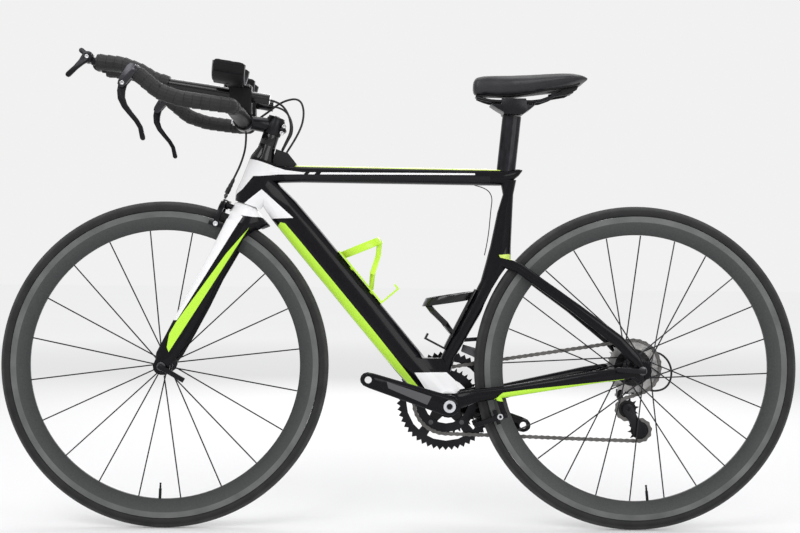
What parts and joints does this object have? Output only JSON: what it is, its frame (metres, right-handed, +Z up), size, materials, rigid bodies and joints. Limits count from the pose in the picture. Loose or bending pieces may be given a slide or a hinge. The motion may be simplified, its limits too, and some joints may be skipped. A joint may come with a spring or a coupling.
{
  "type": "time trial bike",
  "caption": "Time trial bicycle with aero frame and fork, deep rims, base bar with aero extensions and arm pads, derailleur drive, rim brakes and bottle cages.",
  "frame": {"origin": "on the ground halfway between the axles, in the centre plane of the frame", "axes": "+X to the rear wheel, +Y to the drive side, +Z up"},
  "size_m": [1.6399, 0.4488, 0.994],
  "materials": {
    "frame_paint": "gloss",
    "fork_paint": "gloss",
    "black_alloy": "satin",
    "silver_alloy": "satin",
    "steel": "satin",
    "black_plastic": "matte",
    "tape": "matte",
    "tyre": "matte",
    "rim": "satin",
    "pad_cloth": "matte",
    "saddle_cover": "gloss",
    "cage_green": "gloss",
    "cage_dark": "gloss",
    "housing": "satin"
  },
  "bodies": {
    "frame_body": {"frame": "frame_paint", "headset_bearings": "steel", "bottom_bracket_bearings": "steel", "derailleur_hanger": "black_alloy", "top_tube_fairing": "black_plastic", "bottle_cage_down_tube": "cage_green", "bottle_cage_seat_tube": "cage_dark", "chain": "steel", "frame_cables": "housing", "rear_axle": "steel", "front_derailleur_body": "black_alloy", "rear_derailleur_body": "black_alloy"},
    "steering_body": {"fork": "fork_paint", "headset_spacers": "black_alloy", "stem": "black_alloy", "base_bar": "tape", "extensions": "tape", "armrest_brackets": "black_alloy", "arm_pads": "pad_cloth", "brake_lever_bodies": "silver_alloy", "shifter_bodies": "black_alloy", "front_axle": "steel", "front_brake_bridge": "black_alloy", "control_cables": "housing"},
    "front_wheel_body": {"front_tyre": "tyre", "front_rim": "rim", "front_spokes": "black_alloy", "front_hub": "black_alloy"},
    "rear_wheel_body": {"rear_tyre": "tyre", "rear_rim": "rim", "rear_spokes": "black_alloy", "rear_hub": "black_alloy"},
    "crank_body": {"crank_arm_left": "black_alloy", "crank_arm_right": "black_alloy", "chainring_large": "black_alloy", "chainring_small": "black_alloy"},
    "seatpost_body": {"seatpost": "frame_paint", "saddle_clamp": "black_alloy"},
    "saddle_body": {"saddle_rails": "silver_alloy", "saddle_shell": "black_plastic", "saddle_cover": "saddle_cover", "saddle_rear_bracket": "black_alloy"},
    "cassette_body": {"cassette": "steel"},
    "brake_lever_left_body": {"brake_lever_left": "black_alloy"},
    "brake_lever_right_body": {"brake_lever_right": "black_alloy"},
    "shift_lever_left_body": {"shift_lever_left": "black_alloy"},
    "shift_lever_right_body": {"shift_lever_right": "black_alloy"},
    "front_brake_arm_left_body": {"front_brake_arm_left": "black_alloy"},
    "front_brake_arm_right_body": {"front_brake_arm_right": "black_alloy"},
    "rear_brake_arm_left_body": {"rear_brake_arm_left": "black_alloy"},
    "rear_brake_arm_right_body": {"rear_brake_arm_right": "black_alloy"},
    "front_release_lever_body": {"front_release_lever": "silver_alloy"},
    "rear_release_lever_body": {"rear_release_lever": "silver_alloy"},
    "front_derailleur_cage_body": {"front_derailleur_cage": "steel"},
    "rear_derailleur_outer_link_body": {"rear_derailleur_outer_link": "black_alloy"},
    "rear_derailleur_inner_link_body": {"rear_derailleur_inner_link": "black_alloy"},
    "rear_derailleur_knuckle_body": {"rear_derailleur_knuckle": "black_alloy"},
    "rear_derailleur_cage_body": {"rear_derailleur_cage": "black_alloy"},
    "guide_pulley_body": {"guide_pulley": "black_plastic"},
    "tension_pulley_body": {"tension_pulley": "black_plastic"}
  },
  "joints": [
    {"name": "steering", "type": "hinge", "parent": "frame_body", "child": "steering_body", "pos_m": [-0.30501, 0, 0.71363], "axis": [0.314, 0, 0.9494], "range_deg": [-45, 45], "deforming": ["control_cables"]},
    {"name": "front_wheel_spin", "type": "hinge", "parent": "steering_body", "child": "front_wheel_body", "pos_m": [-0.485, 0, 0.335], "axis": [0, 1, 0], "continuous": true},
    {"name": "rear_wheel_spin", "type": "hinge", "parent": "frame_body", "child": "rear_wheel_body", "pos_m": [0.485, 0, 0.335], "axis": [0, 1, 0], "continuous": true},
    {"name": "crank_spin", "type": "hinge", "parent": "frame_body", "child": "crank_body", "pos_m": [0.09596, 0, 0.26], "axis": [0, 1, 0], "continuous": true, "deforming": ["chain"]},
    {"name": "cassette_spin", "type": "hinge", "parent": "frame_body", "child": "cassette_body", "pos_m": [0.485, 0, 0.335], "axis": [0, 1, 0], "continuous": true},
    {"name": "guide_pulley_spin", "type": "hinge", "parent": "rear_derailleur_cage_body", "child": "guide_pulley_body", "pos_m": [0.474, 0.0231, 0.248], "axis": [0, -1, 0], "continuous": true},
    {"name": "tension_pulley_spin", "type": "hinge", "parent": "rear_derailleur_cage_body", "child": "tension_pulley_body", "pos_m": [0.5, 0.0231, 0.20355], "axis": [0, 1, 0], "continuous": true},
    {"name": "brake_lever_left_pull", "type": "hinge", "parent": "steering_body", "child": "brake_lever_left_body", "pos_m": [-0.53906, -0.21, 0.88258], "axis": [0, -1, 0], "range_deg": [0, 22], "stiffness_Nm_per_rad": 0.6, "springref_deg": -2.86},
    {"name": "brake_lever_right_pull", "type": "hinge", "parent": "steering_body", "child": "brake_lever_right_body", "pos_m": [-0.53906, 0.21, 0.88258], "axis": [0, -1, 0], "range_deg": [0, 22], "stiffness_Nm_per_rad": 0.6, "springref_deg": -2.86},
    {"name": "shift_lever_left_throw", "type": "hinge", "parent": "steering_body", "child": "shift_lever_left_body", "pos_m": [-0.63776, -0.0653, 0.95508], "axis": [0, 1, 0], "range_deg": [0, 75]},
    {"name": "shift_lever_right_throw", "type": "hinge", "parent": "steering_body", "child": "shift_lever_right_body", "pos_m": [-0.63776, 0.0653, 0.95508], "axis": [0, -1, 0], "range_deg": [0, 75]},
    {"name": "front_brake_arm_left_close", "type": "hinge", "parent": "steering_body", "child": "front_brake_arm_left_body", "pos_m": [-0.36941, 0, 0.66541], "axis": [0.9494, 0, -0.314], "range_deg": [0, 1.49]},
    {"name": "front_brake_arm_right_close", "type": "hinge", "parent": "steering_body", "child": "front_brake_arm_right_body", "pos_m": [-0.36815, 0.017, 0.66921], "axis": [-0.9494, 0, 0.314], "range_deg": [0, 1.49]},
    {"name": "rear_brake_arm_left_close", "type": "hinge", "parent": "frame_body", "child": "rear_brake_arm_left_body", "pos_m": [0.2116, -0.032, 0.23845], "axis": [0.333, 0, -0.9429], "range_deg": [0, 3.83]},
    {"name": "rear_brake_arm_right_close", "type": "hinge", "parent": "frame_body", "child": "rear_brake_arm_right_body", "pos_m": [0.2116, 0.032, 0.23845], "axis": [-0.333, 0, 0.9429], "range_deg": [0, 3.83]},
    {"name": "front_release_swing", "type": "hinge", "parent": "steering_body", "child": "front_release_lever_body", "pos_m": [-0.485, -0.0683, 0.335], "axis": [-0.5026, 0, -0.8645], "range_deg": [0, 165]},
    {"name": "rear_release_swing", "type": "hinge", "parent": "frame_body", "child": "rear_release_lever_body", "pos_m": [0.485, -0.0833, 0.335], "axis": [0.051, 0, 0.9987], "range_deg": [0, 165]},
    {"name": "front_derailleur_swing", "type": "hinge", "parent": "frame_body", "child": "front_derailleur_cage_body", "pos_m": [0.16935, 0.0263, 0.37744], "axis": [0.848, 0, -0.5299], "range_deg": [0, 11]},
    {"name": "rear_derailleur_outer_swing", "type": "hinge", "parent": "frame_body", "child": "rear_derailleur_outer_link_body", "pos_m": [0.498, 0.073, 0.282], "axis": [0, 0, -1], "range_deg": [0, 52]},
    {"name": "rear_derailleur_inner_swing", "type": "hinge", "parent": "frame_body", "child": "rear_derailleur_inner_link_body", "pos_m": [0.498, 0.059, 0.282], "axis": [0, 0, -1], "range_deg": [0, 52]},
    {"name": "rear_derailleur_knuckle_turn", "type": "hinge", "parent": "rear_derailleur_outer_link_body", "child": "rear_derailleur_knuckle_body", "pos_m": [0.4603, 0.0545, 0.282], "axis": [0, 0, 1], "range_deg": [0, 52]},
    {"name": "rear_derailleur_cage_turn", "type": "hinge", "parent": "rear_derailleur_knuckle_body", "child": "rear_derailleur_cage_body", "pos_m": [0.474, 0.0231, 0.248], "axis": [0, -1, 0], "range_deg": [0, 22]},
    {"name": "seatpost_slide", "type": "slide", "parent": "frame_body", "child": "seatpost_body", "axis": [0.0976, 0, 0.9952], "range_m": [0, 0.012]},
    {"name": "saddle_slide", "type": "slide", "parent": "seatpost_body", "child": "saddle_body", "axis": [1, 0, 0], "range_m": [-0.006, 0.006]}
  ],
  "couplings": [
    {"joint": "cassette_spin", "follows": "crank_spin", "ratio": 1.2143},
    {"joint": "guide_pulley_spin", "follows": "crank_spin", "ratio": 3.0909},
    {"joint": "tension_pulley_spin", "follows": "crank_spin", "ratio": 3.0909},
    {"joint": "front_brake_arm_left_close", "follows": "brake_lever_left_pull", "ratio": 0.067909},
    {"joint": "front_brake_arm_right_close", "follows": "brake_lever_left_pull", "ratio": 0.067909},
    {"joint": "rear_brake_arm_left_close", "follows": "brake_lever_right_pull", "ratio": 0.17409},
    {"joint": "rear_brake_arm_right_close", "follows": "brake_lever_right_pull", "ratio": 0.17409},
    {"joint": "front_derailleur_swing", "follows": "shift_lever_left_throw", "ratio": 0.14667},
    {"joint": "rear_derailleur_outer_swing", "follows": "shift_lever_right_throw", "ratio": 0.69333},
    {"joint": "rear_derailleur_inner_swing", "follows": "shift_lever_right_throw", "ratio": 0.69333},
    {"joint": "rear_derailleur_knuckle_turn", "follows": "shift_lever_right_throw", "ratio": 0.69333},
    {"joint": "rear_derailleur_cage_turn", "follows": "shift_lever_right_throw", "ratio": 0.29333}
  ]
}
